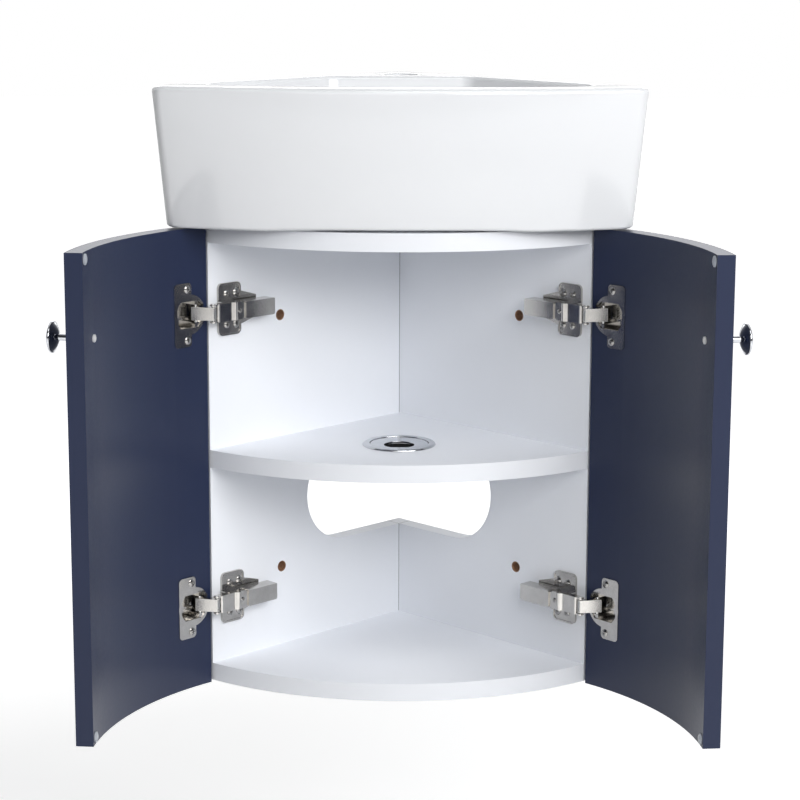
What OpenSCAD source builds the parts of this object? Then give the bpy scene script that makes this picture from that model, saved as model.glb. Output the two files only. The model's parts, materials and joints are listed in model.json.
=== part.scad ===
// Corner vanity unit: a quarter-round cabinet with two curved doors on concealed hinges,
// hung in the corner of a room, and the corner basin that stands on it.
// The origin is the room's corner at the cabinet's underside: +Z is up, +Y points from the
// room into the corner, and X is to the right. The doors are drawn open.

/* [Cabinet] */
// Height of the cabinet
cabinet_h = 443.5; // [380:0.5:640]
// Thickness of the boards
board_t = 17; // [15:0.5:19]
// Length of each wall board, from the room's corner to its front edge
wall_l = 271; // [262:1:300]
// Radius of the round fronts of the top, shelf and bottom
front_r = 286; // [278:1:330]
// Height of the shelf's upper face
shelf_top = 228; // [215:1:260]
// Diameter of the cut-out under the basin
waste_cut_d = 120; // [80:1:150]
// Distance of the waste's axis from the room's corner
waste_y = 176; // [165:1:190]

/* [Doors] */
// Thickness of a door
door_t = 16; // [15:0.5:19]
// Gap between the boards' round fronts and a closed door
door_gap = 3; // [2.7:0.1:5]
// Distance of a closed door's hinge edge from the wall
door_reveal = 2; // [1:0.5:4]
// Gap between the two closed doors
door_split = 3; // [2:0.5:6]
// Gap over a door, under the basin
door_head_gap = 1.5; // [1:0.5:4]
// How far a door reaches below the cabinet's underside
door_drop = 1; // [0:0.5:4]
// How far a door opens, in degrees
door_open = 95; // [80:1:96]

/* [Hinges] */
// Distance of each hinge from the door's top or bottom edge
hinge_inset = 80.5; // [60:0.5:100]
// Diameter of the hinge cup
cup_d = 35; // [34:0.5:36]
// Depth of the hinge cup in the door
cup_depth = 11.5; // [11:0.1:12.5]
// Distance of the cup's axis from the door's hinge edge
cup_setback = 22.5; // [21.5:0.5:24]
// Length of the cup's screw flange
flange_l = 60; // [56:1:66]
// Width of the cup's screw flange
flange_w = 21; // [20:0.5:24]
// Distance between the two cup screws
cup_screw_pitch = 48; // [45:1:52]
// Width of the hinge arm over its cheeks
arm_w = 17; // [16:0.2:19]
// Length of the base plate across the arm
plate_l = 50; // [48:1:60]
// Width of the base plate along the arm
plate_w = 28; // [27:1:34]
// Pitch of the base plate's screws
plate_pitch = 30; // [29:1:34]
// Diameter of the hinge pins
pin_d = 3; // [2.6:0.1:3.2]
// How far the links swing on the arm, in degrees
link_swing = 38; // [37:0.5:40]

/* [Knobs] */
// Diameter of a knob's head
knob_d = 29; // [22:1:34]
// Projection of a knob from the door
knob_h = 26.5; // [24:0.5:36]
// Height of the knobs above the cabinet's underside
knob_z = 363; // [300:0.5:380]
// Distance of a knob's axis from the door's free edge
knob_inset = 30; // [18:1:40]

/* [Wall fixing and plumbing] */
// Diameter of the holes for the wall screws
fix_d = 10; // [6:0.5:12]
// Distance of the fixing holes from the room's corner
fix_reach = 180.5; // [172:0.5:184]
// Height of the upper fixing holes
fix_high = 348; // [300:1:380]
// Height of the lower fixing holes
fix_low = 96.5; // [90:0.5:102]
// Height of the plumbing notch's sill
notch_sill = 110.6; // [106:0.2:130]
// Radius of the notch's round ends
notch_r = 51; // [45:1:60]
// Reach of the notch from the room's corner
notch_reach = 145.5; // [125:0.5:155]
// Wall left between the notch and the shelf
notch_cover = 5; // [3:1:10]

/* [Pipe outlet] */
// Diameter of the outlet's flange
ring_d = 70; // [64:1:80]
// Diameter of the hole in the shelf
ring_hole_d = 61; // [57:1:62]
// Diameter of the lift-out cap
cap_d = 56; // [50:1:56.5]
// Diameter of the hole in the cap
outlet_d = 29; // [22:1:34]
// How far the cap's hole lies ahead of the cap's centre
outlet_ahead = 6; // [0:0.5:8]

/* [Basin] */
// Height of the basin
basin_h = 130.5; // [110:0.5:170]
// Length of the basin's sides along the walls, at the rim
basin_arm = 323; // [300:0.5:360]
// Distance of the rim's front from the room's corner
basin_front = 276; // [268:1:330]
// Length of the short end faces at the rim
basin_end = 12; // [8:1:20]
// How much shorter the end faces are at the foot
end_taper = 5.5; // [0:0.5:8]
// How far the basin's foot is drawn in at the sides
side_taper = 7.5; // [4:0.5:18]
// How far the basin's foot is drawn in at the front
front_taper = 19.5; // [10:0.5:34]
// Thickness of the ceramic
ceramic_t = 10; // [8:0.5:13]
// Depth of the bowl
bowl_depth = 95; // [70:1:104]
// Width of the rim along the walls
rim_w = 13; // [11:0.5:18]
// Width of the rim at the front
front_rim_w = 32; // [24:1:40]
// Depth of the tap ledge, from the room's corner
ledge_y = 86; // [80:1:95]
// Diameter of the tap hole
tap_hole_d = 35; // [30:1:38]
// Distance of the tap hole from the room's corner
tap_y = 54; // [50:1:58]
// Diameter of the waste hole
waste_hole_d = 45; // [38:1:50]

/* [Hidden] */

$fn = 64;
// Overrun of a cut past the face that it leaves
over = 1;
// Thickness of a slice that a hulled shell is stretched over
slice_t = 0.1;
root2 = sqrt(2);
// Turn from the X axis to the direction of the left wall, away from the corner
wall_turn = -135;
// Half of the right angle between the walls, where the doors meet
half_corner = 45;

// Plan of the cabinet, in the frame of one wall: X runs forward along the wall board's inner
// face from the cabinet's inner corner, and Y runs into the cabinet.
inner_l = wall_l - board_t;
centre_off = (sqrt(2 * front_r * front_r - inner_l * inner_l) - inner_l) / 2;
shelf_z = shelf_top - board_t;
top_z = cabinet_h - board_t;

// Doors, in the same frame, closed
door_r = front_r + door_gap;
door_top = cabinet_h - door_head_gap;
hinge_edge_a = asin((door_reveal - board_t + centre_off) / door_r);
free_edge_a = half_corner - asin(door_split / 2 / door_r);
cup_a = hinge_edge_a + cup_setback / door_r * 180 / PI;

// Hinge chain: the link turns on the arm's pin, and the door turns on the link's other pin
arm_pin_ahead = 6;
arm_pin_high = 14;
cup_pin_back = 12;
cup_pin_deep = 1.5;
arm_pin = [inner_l + arm_pin_ahead, arm_pin_high];
cup_pin_shut = cup_point(cup_pin_back, cup_pin_deep);
link_l = norm(cup_pin_shut - arm_pin);
link_shut_a = atan2(cup_pin_shut.y - arm_pin.y, cup_pin_shut.x - arm_pin.x);
link_a = link_shut_a + link_swing;
cup_pin = arm_pin + polar(link_l, link_a);
running = 0.06;
seat = 0.03;

// Hinge cup and flange
cup_r = cup_d / 2;
cup_wall = 1;
cup_floor = 1;
cup_fit = 0.2;
flange_t = 1.2;
flange_round = 4;
flange_hinge_side = -2.4;
rim_extra = 1.5;
mouth_h = 25;
mouth_strip = 3;
mouth_slot_deep = 3.6;
pin_ear_w = 6;
flange_far = flange_w + flange_hinge_side;
flange_lift = sag(flange_far, door_r) + seat;
cup_screw_back = 2.7;
cup_screw_d = 3.6;
cup_screw_l = 12;
cup_screw_head_d = 7.4;
cup_screw_head_h = 1.4;
cup_screw_hole_d = 4.4;
cup_pin_z = -flange_lift - cup_pin_deep;
// The cup pin ends inside the cup's wall
cup_pin_l = 2 * sqrt(pow(cup_r - cup_wall, 2) - pow(cup_setback - cup_pin_back + pin_d / 2, 2));

// Link
link_gap = 1.2;
mouth_play = 0.8;
sheet_t = 1.2;
link_eye_r = 2.8;
link_web_out = 4;
link_w = arm_w - 2 * sheet_t - 2 * link_gap;
link_web_start = 1.5;
link_web_end = 3;
mouth_slot_w = link_w + 2 * mouth_play;

// Arm, its cover and its base plate
arm_top = 17;
arm_nose = 3.2;
arm_skin_back = 5;
roll_r = 1.9;
roll_proud = 0.3;
arm_side_low = 2.3;
arm_front_low = 10.4;
arm_step_ahead = -9;
arm_neck_ahead = -28;
arm_tail_ahead = -69;
arm_rear_w = 14.6;
groove_r = 1.4;
groove_deep = 0.7;
groove_ahead = -14.6;
ridge_r = 3.6;
ridge_ahead = -19;
cover_front_ahead = -31;
cover_back_ahead = -67;
cover_w = 16;
cover_top = 18.6;
cover_low = 6.5;
cover_fit = 0.15;
plate_t = 2;
plate_front_ahead = -10.6;
plate_round = 5;
plate_edge_w = 1.6;
plate_edge_h = 0.6;
web_back_ahead = -58;
web_l = 21;
web_foot_l = 40;
rail_fit = 0.3;
rail_w = arm_rear_w - 2 * sheet_t - 2 * rail_fit;
rail_front_ahead = -12;
rail_back_ahead = -56;
plate_screw_front = 10.4;
plate_screw_rear = 22.2;
plate_screw_d = 3.6;
plate_screw_l = 13;
plate_screw_head_d = 6.6;
plate_slot_head_d = 7.6;
plate_screw_head_h = 1.5;
plate_slot_l = 9;
plate_hole_d = 4.2;
arm_screw_d = 5;
arm_screw_ahead = -24.5;
arm_screw_proud = 0.5;
recess_w = 0.9;
recess_deep = 0.9;
pin_head_d = 4.6;
pin_head_t = 0.6;

// Knob, from the door outwards, and its screw
knob_foot_d = 9;
knob_foot_h = 2;
knob_stem_d = 6.5;
knob_back_share = 0.17;
knob_front_share = 0.14;
knob_rim_r = 1.6;
knob_screw_d = 4;
knob_thread_l = 9;
knob_screw_head_d = 7;
knob_screw_head_h = 2.2;
knob_hole_d = 4.6;

// Bumpers
bumper_d = 10;
bumper_h = 2.4;
bumper_in = 8;
bumper_end = 6.5;

// Screws that hold the boards together
board_screw_d = 5;
board_screw_l = 50;
board_screw_head_d = 10;
board_screw_head_h = 3;
board_screw_back = 60;
board_screw_front = 215;
corner_screw_end = 50;
corner_screw_mid = 270;

// Pipe outlet
ring_flange_h = 2.2;
ring_body_fit = 0.3;
ring_body_l = 15;
ring_ledge_w = 2;
ring_ledge_deep = 3.2;
cap_fit = 0.3;
cap_t = 2.4;
cap_skirt_l = 6;
cap_skirt_t = 1.2;
outlet_flat_share = 0.86;
flange_edge_r = 1.2;
seal_l = 14;
seal_t = 2;
seal_mouth_d = 34;

// Basin
basin_foot_r = 6;
rim_round = 5;
tip_round = 12;
end_slant = 2;
bowl_taper = 34;
bowl_floor_round = 38;
bowl_corner_round = 22;
bowl_foot_h = 14;
front_steps = 28;
hull_fn = 36;

white = [0.93, 0.94, 0.95];
navy = [0.17, 0.21, 0.33];
nickel = [0.72, 0.71, 0.69];
chrome = [0.82, 0.83, 0.85];
zinc = [0.62, 0.62, 0.63];
ceramic = [0.97, 0.97, 0.97];
clear = [0.85, 0.87, 0.90];
rubber = [0.06, 0.06, 0.06];

function polar(r, a) = [r * cos(a), r * sin(a)];
function sag(half_chord, r) = r - sqrt(r * r - half_chord * half_chord);
function cup_point(back, deep) =
    [-centre_off, -centre_off] + polar(door_r + deep, cup_a)
    + (back - cup_setback) * [-sin(cup_a), cos(cup_a)];
function hinge_z(upper) = upper ? door_top - hinge_inset : hinge_inset - door_drop;

// Frames
module on_side(right) {
    if (right) mirror([1, 0, 0]) children();
    else children();
}

module wall_frame() {
    translate([0, -board_t * root2, 0]) rotate([0, 0, wall_turn]) children();
}

module at_centre() {
    translate([-centre_off, -centre_off, 0]) children();
}

// From the closed door's place to the open one's
module opened() {
    translate(cup_pin) rotate([0, 0, -door_open]) translate(-cup_pin_shut) children();
}

// A door's own frame at an angle round it: X points out through the door from its inner face
module door_spot(a, z) {
    at_centre() rotate([0, 0, a]) translate([door_r, 0, z]) children();
}

// Along X instead of Z
module along_x() {
    rotate([0, 90, 0]) children();
}

// Along Y instead of Z
module along_y() {
    rotate([-90, 0, 0]) children();
}

module rounded_plan(w, l, r) {
    square([w - 2 * r, l], center = true);
    square([w, l - 2 * r], center = true);
    for (x = [-1, 1], y = [-1, 1])
        translate([x * (w / 2 - r), y * (l / 2 - r)]) circle(r);
}

// A pan-head screw: the head stands up from Z = 0, and the shank goes down
module screw(shank_d, shank_l, head_d, head_h) {
    difference() {
        union() {
            translate([0, 0, -shank_l]) cylinder(d = shank_d, h = shank_l);
            intersection() {
                cylinder(d = head_d, h = head_h);
                translate([0, 0, head_h - head_d]) sphere(head_d);
            }
        }
        for (turn = [0, 90])
            rotate([0, 0, turn])
                translate([0, 0, head_h - recess_deep / 2])
                    cube([head_d / 2, recess_w, recess_deep + slice_t], center = true);
    }
}

// Wall boards
module notch_cut() {
    notch_top = shelf_z - notch_cover;
    reach = notch_reach - board_t;
    past = board_t + over;
    translate([0, over, 0]) rotate([90, 0, 0]) linear_extrude(board_t + 2 * over)
        intersection() {
            union() {
                translate([reach - notch_r, notch_sill + notch_r]) circle(notch_r);
                translate([-past, notch_sill]) square([past + reach - notch_r, 2 * notch_r]);
            }
            translate([-past, notch_sill]) square([past + reach, notch_top - notch_sill]);
        }
}

module fixing_holes() {
    for (z = [fix_low, fix_high])
        translate([fix_reach - board_t, -board_t - over, z])
            along_y() cylinder(d = fix_d, h = board_t + 2 * over);
}

module board_screw_places() {
    for (z = [board_t / 2, shelf_z + board_t / 2, top_z + board_t / 2])
        for (x = [board_screw_back, board_screw_front])
            translate([x, -board_t, z]) rotate([90, 0, 0]) children();
}

module corner_screw_places() {
    for (z = [corner_screw_end, corner_screw_mid, cabinet_h - corner_screw_end])
        translate([-board_t / 2, -board_t, z]) rotate([90, 0, 0]) children();
}

// The space of a sunk screw, whose head is flush with the board's outer face
module board_screw_cut() {
    translate([0, 0, -board_screw_l])
        cylinder(d = board_screw_d + 2 * seat, h = board_screw_l + over);
    translate([0, 0, -board_screw_head_h - seat])
        cylinder(d = board_screw_head_d + 2 * seat, h = board_screw_head_h + over);
}

module board_screw() {
    translate([0, 0, -board_screw_head_h])
        screw(board_screw_d, board_screw_l - board_screw_head_h,
              board_screw_head_d, board_screw_head_h);
}

module plate_screw_places(upper) {
    for (side = [-1, 1], rear = [false, true])
        translate([
            inner_l + plate_front_ahead - (rear ? plate_screw_rear : plate_screw_front),
            plate_t, hinge_z(upper) + side * plate_pitch / 2
        ]) along_y() children();
}

module wall_board(back) {
    difference() {
        translate([-back, -board_t, 0]) cube([inner_l + back, board_t, cabinet_h]);
        notch_cut();
        fixing_holes();
        board_screw_places() board_screw_cut();
        for (upper = [false, true])
            plate_screw_places(upper)
                translate([0, 0, -plate_screw_l])
                    cylinder(d = plate_screw_d + 2 * seat, h = plate_screw_l);
    }
}

module left_wall_board() {
    color(white) wall_frame() difference() {
        wall_board(board_t);
        corner_screw_places() board_screw_cut();
    }
}

module right_wall_board() {
    color(white) difference() {
        on_side(true) wall_frame() wall_board(0);
        wall_frame() corner_screw_places() board_screw_cut();
    }
}

// Round-fronted boards
module board_plan() {
    wall_frame() intersection() {
        square(front_r);
        at_centre() circle(front_r, $fn = 256);
    }
}

module round_board(z) {
    difference() {
        translate([0, 0, z]) linear_extrude(board_t) board_plan();
        for (right = [false, true])
            on_side(right) wall_frame() board_screw_places() board_screw_cut();
    }
}

module top_board() {
    color(white) difference() {
        round_board(top_z);
        translate([0, -waste_y, top_z - over]) cylinder(d = waste_cut_d, h = board_t + 2 * over);
    }
}

module shelf() {
    color(white) difference() {
        round_board(shelf_z);
        translate([0, -waste_y, shelf_z - over]) cylinder(d = ring_hole_d, h = board_t + 2 * over);
    }
}

module bottom_board() {
    color(white) round_board(0);
}

module board_screws(right) {
    color(zinc) on_side(right) wall_frame() board_screw_places() board_screw();
}

module corner_screws() {
    color(zinc) wall_frame() corner_screw_places() board_screw();
}

// Doors
module door_plan() {
    at_centre() intersection() {
        difference() {
            circle(door_r + door_t, $fn = 256);
            circle(door_r, $fn = 256);
        }
        polygon([
            [0, 0], polar(2 * door_r, hinge_edge_a), polar(2 * door_r, free_edge_a)
        ]);
    }
}

knob_a = free_edge_a - knob_inset / door_r * 180 / PI;
bumper_a = free_edge_a - bumper_in / door_r * 180 / PI;

module cup_screw_places(upper) {
    for (side = [-1, 1])
        door_spot(cup_a, hinge_z(upper) + side * cup_screw_pitch / 2)
            translate([-flange_lift - flange_t, cup_screw_back, 0]) rotate([0, -90, 0]) children();
}

module door(right) {
    color(navy) on_side(right) wall_frame() opened() difference() {
        translate([0, 0, -door_drop]) linear_extrude(door_top + door_drop) door_plan();
        door_spot(knob_a, knob_z) translate([-over, 0, 0])
            along_x() cylinder(d = knob_hole_d, h = door_t + 2 * over);
        for (upper = [false, true]) {
            door_spot(cup_a, hinge_z(upper)) translate([-over, 0, 0])
                along_x() cylinder(d = cup_d + 2 * cup_fit, h = cup_depth + cup_fit + over);
            cup_screw_places(upper)
                translate([0, 0, -cup_screw_l])
                    cylinder(d = cup_screw_d + 2 * seat, h = cup_screw_l);
        }
    }
}

module knob(right) {
    color(chrome) on_side(right) wall_frame() opened()
        door_spot(knob_a, knob_z) translate([door_t + seat, 0, 0]) along_x()
            difference() {
                rotate_extrude() knob_profile();
                translate([0, 0, -over]) cylinder(d = knob_screw_d + 2 * seat, h = knob_thread_l + over);
            }
}

// Half of the knob's section: foot, stem, domed back, rim and domed front
module knob_profile() {
    back_h = knob_back_share * knob_h;
    front_h = knob_front_share * knob_h;
    rim_r = knob_d / 2 - knob_rim_r;
    rim = knob_h - front_h - 2 * knob_rim_r;
    square([knob_foot_d / 2, knob_foot_h]);
    square([knob_stem_d / 2, rim]);
    translate([0, rim]) square([rim_r, 2 * knob_rim_r]);
    translate([rim_r, rim + knob_rim_r]) circle(knob_rim_r, $fn = 16);
    translate([0, rim + 2 * knob_rim_r]) knob_dome(rim_r, front_h);
    translate([0, rim]) mirror([0, 1]) knob_dome(rim_r, back_h);
}

module knob_dome(base_r, h) {
    r = (base_r * base_r + h * h) / (2 * h);
    intersection() {
        translate([0, h - r]) circle(r, $fn = 128);
        square([base_r, h]);
    }
}

module knob_screw(right) {
    head_lift = sag(knob_screw_head_d / 2, door_r) + seat;
    color(zinc) on_side(right) wall_frame() opened()
        door_spot(knob_a, knob_z) translate([-head_lift, 0, 0]) rotate([0, -90, 0])
            screw(knob_screw_d, door_t + knob_thread_l, knob_screw_head_d, knob_screw_head_h);
}

module door_bumpers(right) {
    lift = sag(bumper_d / 2, door_r) + seat;
    color(clear) on_side(right) wall_frame() opened()
        for (z = [bumper_end - door_drop, door_top - bumper_end])
            door_spot(bumper_a, z) translate([-lift, 0, 0]) rotate([0, -90, 0])
                intersection() {
                    cylinder(d = bumper_d, h = bumper_h);
                    translate([0, 0, bumper_h - bumper_d]) sphere(bumper_d);
                }
}

// Hinge cup with its flange, in the cup's frame: Z points out of the door's inner face,
// X runs up and Y runs towards the free edge.
module cup_frame(right, upper) {
    on_side(right) wall_frame() opened() door_spot(cup_a, hinge_z(upper))
        translate([-flange_lift, 0, 0]) rotate([0, -90, 0]) children();
}

module cup_mouth() {
    intersection() {
        circle(cup_r - cup_wall);
        translate([-mouth_h / 2, -cup_d]) square([mouth_h, cup_d + flange_far - mouth_strip]);
    }
}

module cup(right, upper) {
    deep = cup_depth + flange_lift;
    pin_y = cup_pin_back - cup_setback;
    color(nickel) cup_frame(right, upper) difference() {
        union() {
            translate([0, 0, -deep]) difference() {
                cylinder(r = cup_r, h = deep);
                translate([0, 0, cup_floor]) cylinder(r = cup_r - cup_wall, h = deep);
            }
            translate([0, 0, -deep]) intersection() {
                cylinder(r = cup_r - cup_wall / 2, h = deep);
                for (side = [-1, 1])
                    translate([side * (arm_w + cup_d) / 2, pin_y, deep / 2])
                        cube([cup_d, pin_ear_w, deep], center = true);
            }
            linear_extrude(flange_t) difference() {
                union() {
                    circle(cup_r + rim_extra);
                    translate([0, (flange_far + flange_hinge_side) / 2])
                        rounded_plan(flange_l, flange_w, flange_round);
                }
                cup_mouth();
            }
        }
        translate([-mouth_slot_w / 2, -cup_d, -mouth_slot_deep])
            cube([mouth_slot_w, cup_d + pin_y, mouth_slot_deep + flange_t + over]);
        for (side = [-1, 1])
            translate([side * cup_screw_pitch / 2, cup_screw_back, -over])
                cylinder(d = cup_screw_hole_d, h = flange_t + 2 * over);
        translate([0, pin_y, cup_pin_z]) along_x()
            cylinder(d = pin_d + 2 * seat, h = cup_d + 2 * over, center = true);
    }
}

module cup_pin_rod(right, upper) {
    color(zinc) cup_frame(right, upper)
        translate([0, cup_pin_back - cup_setback, cup_pin_z])
            along_x() cylinder(d = pin_d, h = cup_pin_l, center = true);
}

module cup_screws(right) {
    color(zinc) on_side(right) wall_frame() opened()
        for (upper = [false, true])
            cup_screw_places(upper)
                screw(cup_screw_d, cup_screw_l, cup_screw_head_d, cup_screw_head_h);
}

// Link, in its own frame: X runs from the arm's pin to the cup's pin
module link_side() {
    difference() {
        union() {
            circle(link_eye_r);
            translate([link_l, 0]) circle(link_eye_r);
            translate([0, -link_eye_r]) square([link_l, 2 * link_eye_r]);
            translate([-link_web_start, 0])
                square([link_l + link_web_start + link_web_end, link_web_out]);
        }
        for (x = [0, link_l])
            translate([x, 0]) circle(d = pin_d + 2 * running);
    }
}

module link(right, upper) {
    color(nickel) on_side(right) wall_frame()
        translate([arm_pin.x, arm_pin.y, hinge_z(upper)]) rotate([0, 0, link_a]) {
            for (side = [0, 1])
                mirror([0, 0, side]) translate([0, 0, link_w / 2 - sheet_t])
                    linear_extrude(sheet_t) link_side();
            translate([-link_web_start, link_web_out - sheet_t, -link_w / 2])
                cube([link_l + link_web_start + link_web_end, sheet_t, link_w]);
        }
}

module arm_pin_rod(right, upper) {
    color(zinc) on_side(right) wall_frame()
        translate([arm_pin.x, arm_pin.y, hinge_z(upper)]) {
            cylinder(d = pin_d, h = arm_w, center = true);
            for (side = [0, 1])
                mirror([0, 0, side]) translate([0, 0, arm_w / 2])
                    cylinder(d = pin_head_d, h = pin_head_t);
        }
}

// Arm: a channel over the base plate's rail, stepped down to its nose
module arm_side_plan(front) {
    x0 = inner_l + arm_tail_ahead;
    x1 = inner_l + arm_neck_ahead;
    x2 = inner_l + arm_step_ahead;
    if (front) {
        translate([x1, arm_side_low]) square([x2 - x1, arm_top - arm_side_low]);
        translate([x2, arm_front_low]) square([arm_pin.x - x2, arm_top - arm_front_low]);
        translate(arm_pin) circle(arm_nose);
    } else {
        translate([x0, arm_side_low]) square([x1 - x0 + sheet_t, arm_top - arm_side_low]);
    }
}

module arm_channel(front, w, from_x, to_x) {
    for (side = [0, 1])
        mirror([0, 0, side]) translate([0, 0, w / 2 - sheet_t])
            linear_extrude(sheet_t) arm_side_plan(front);
    translate([from_x, arm_top - sheet_t, -w / 2]) cube([to_x - from_x, sheet_t, w]);
}

module arm(right, upper) {
    neck_x = inner_l + arm_neck_ahead;
    color(nickel) on_side(right) wall_frame() translate([0, 0, hinge_z(upper)]) difference() {
        union() {
            arm_channel(true, arm_w, neck_x, arm_pin.x - arm_skin_back);
            arm_channel(false, arm_rear_w, inner_l + arm_tail_ahead, neck_x + sheet_t);
            translate([neck_x, arm_side_low, -arm_w / 2])
                cube([sheet_t, arm_top - arm_side_low, arm_w]);
            intersection() {
                translate([inner_l + ridge_ahead, arm_top - ridge_r / 2, 0])
                    cylinder(r = ridge_r, h = arm_w, center = true);
                translate([neck_x, arm_top - sheet_t, -arm_w / 2])
                    cube([inner_l, ridge_r, arm_w]);
            }
            translate([arm_pin.x - arm_skin_back, arm_top + roll_proud - roll_r, 0])
                cylinder(r = roll_r, h = arm_w, center = true);
        }
        translate([inner_l + groove_ahead, arm_top + groove_r - groove_deep, 0])
            cylinder(r = groove_r, h = arm_w + 2 * over, center = true);
        translate([neck_x - over, arm_side_low - over, -rail_w / 2 - rail_fit])
            cube([sheet_t + 2 * over, arm_top - sheet_t - arm_side_low + over,
                  rail_w + 2 * rail_fit]);
        translate([arm_pin.x, arm_pin.y, 0])
            cylinder(d = pin_d + 2 * seat, h = arm_w + 2 * over, center = true);
        translate([inner_l + arm_screw_ahead, arm_top - sheet_t - over, 0])
            along_y() cylinder(d = arm_screw_d + 2 * seat, h = sheet_t + 2 * over);
    }
}

// The screw that holds the arm down on the rail
module arm_screws(right) {
    color(zinc) on_side(right) wall_frame()
        for (upper = [false, true])
            translate([inner_l + arm_screw_ahead, arm_top, hinge_z(upper)])
                rotate([-90, 0, 0])
                    screw(arm_screw_d, sheet_t + rail_fit, arm_screw_d, arm_screw_proud);
}

module arm_cover(right, upper) {
    x0 = inner_l + cover_back_ahead;
    x1 = inner_l + cover_front_ahead;
    in_w = arm_rear_w + 2 * cover_fit;
    color(nickel) on_side(right) wall_frame() translate([0, 0, hinge_z(upper)]) difference() {
        translate([(x0 + x1) / 2, cover_low, 0]) rotate([-90, 0, 0])
            linear_extrude(cover_top - cover_low) rounded_plan(x1 - x0, cover_w, sheet_t);
        translate([x0 - over, cover_low - over, -in_w / 2])
            cube([x1 - x0 + 2 * over, arm_top + cover_fit - cover_low + over, in_w]);
    }
}

module base_plate(right, upper) {
    x1 = inner_l + plate_front_ahead;
    web_x = inner_l + web_back_ahead;
    rail_x = inner_l + rail_back_ahead;
    rail_l = rail_front_ahead - rail_back_ahead;
    color(nickel) on_side(right) wall_frame() translate([0, 0, hinge_z(upper)]) difference() {
        union() {
            rotate([-90, 0, 0]) linear_extrude(plate_t) {
                translate([x1 - plate_w / 2, 0]) rounded_plan(plate_w, plate_l, plate_round);
                polygon([
                    [x1 - plate_w / 2, web_foot_l / 2], [x1 - plate_w / 2, -web_foot_l / 2],
                    [web_x, -web_l / 2], [web_x, web_l / 2]
                ]);
            }
            translate([0, plate_t, 0]) rotate([-90, 0, 0]) linear_extrude(plate_edge_h)
                translate([x1 - plate_w / 2, 0]) difference() {
                    rounded_plan(plate_w, plate_l, plate_round);
                    rounded_plan(plate_w - 2 * plate_edge_w, plate_l - 2 * plate_edge_w,
                                 plate_round - plate_edge_w);
                    square([plate_w + 2 * over, arm_w + 2 * link_gap], center = true);
                }
            translate([rail_x, 0, -rail_w / 2])
                cube([rail_l, arm_top - sheet_t - rail_fit, rail_w]);
        }
        for (side = [-1, 1]) {
            translate([x1 - plate_screw_front, -over, side * plate_pitch / 2])
                along_y() cylinder(d = plate_hole_d, h = plate_t + 2 * over);
            translate([x1 - plate_screw_rear, -over, side * plate_pitch / 2])
                rotate([-90, 0, 0]) linear_extrude(plate_t + 2 * over)
                    rounded_plan(plate_hole_d, plate_slot_l, plate_hole_d / 2 - seat);
        }
    }
}

module plate_screws(right) {
    color(zinc) on_side(right) wall_frame()
        for (upper = [false, true])
            for (side = [-1, 1], rear = [false, true])
                translate([
                    inner_l + plate_front_ahead - (rear ? plate_screw_rear : plate_screw_front),
                    plate_t, hinge_z(upper) + side * plate_pitch / 2
                ]) along_y()
                    screw(plate_screw_d, plate_screw_l,
                          rear ? plate_slot_head_d : plate_screw_head_d, plate_screw_head_h);
}

// Pipe outlet in the shelf
module outlet_ring() {
    body_d = ring_hole_d - 2 * ring_body_fit;
    bore_d = cap_d + 2 * cap_fit;
    color(chrome) translate([0, -waste_y, shelf_top]) rotate_extrude($fn = 96)
        polygon([
            [bore_d / 2 - ring_ledge_w, -ring_body_l], [body_d / 2, -ring_body_l],
            [body_d / 2, 0], [ring_d / 2, 0],
            [ring_d / 2, ring_flange_h - flange_edge_r],
            [ring_d / 2 - flange_edge_r, ring_flange_h],
            [bore_d / 2, ring_flange_h],
            [bore_d / 2, ring_flange_h - ring_ledge_deep],
            [bore_d / 2 - ring_ledge_w, ring_flange_h - ring_ledge_deep]
        ]);
}

// Radius of the cap's skirt, and the height of the cap's underside
skirt_r = cap_d / 2 - ring_ledge_w - cap_fit;
cap_z = shelf_top + ring_flange_h - ring_ledge_deep;

module outlet_cap() {
    color(chrome) translate([0, -waste_y, cap_z]) difference() {
        union() {
            cylinder(d = cap_d, h = cap_t, $fn = 96);
            translate([0, 0, -cap_skirt_l]) difference() {
                cylinder(r = skirt_r, h = cap_skirt_l);
                translate([0, 0, -over])
                    cylinder(r = skirt_r - cap_skirt_t, h = cap_skirt_l + over);
            }
        }
        translate([0, -outlet_ahead, -over]) linear_extrude(cap_t + 2 * over) intersection() {
            circle(d = outlet_d);
            translate([0, outlet_d - outlet_flat_share * outlet_d / 2])
                square(2 * outlet_d, center = true);
        }
    }
}

// A rubber sleeve in the cap's skirt, with a lip round the pipe
module outlet_seal() {
    color(rubber) translate([0, -waste_y, cap_z - seal_l]) difference() {
        cylinder(r = skirt_r - cap_skirt_t - seat, h = seal_l - seat);
        translate([0, 0, seal_t])
            cylinder(r = skirt_r - cap_skirt_t - seal_t, h = seal_l);
        translate([0, -outlet_ahead, -over])
            cylinder(d = seal_mouth_d, h = seal_t + 2 * over);
    }
}

// Basin
basin_tip = basin_arm / root2;

// Plan of the basin at a share of its height, drawn in by the taper towards its foot
function basin_outline(up) =
    let (
        tip = basin_tip - side_taper * (1 - up),
        front = basin_front - front_taper * (1 - up),
        w = tip - end_slant,
        side = tip + basin_end - end_taper * (1 - up),
        rise = front - side,
        r = (w * w + rise * rise) / (2 * rise),
        a_max = asin(w / r)
    )
    concat(
        [[tip, -tip], [0, 0], [-tip, -tip]],
        [for (i = [0:front_steps])
            let (a = a_max * (2 * i / front_steps - 1))
            [r * sin(a), r - front - r * cos(a)]]
    );

module basin_plan(up, inset) {
    offset(r = tip_round) offset(delta = -inset - tip_round) polygon(basin_outline(up));
}

module basin_slice(up, inset, z) {
    translate([0, 0, cabinet_h + z]) linear_extrude(slice_t) basin_plan(up, inset, $fn = hull_fn);
}

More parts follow.
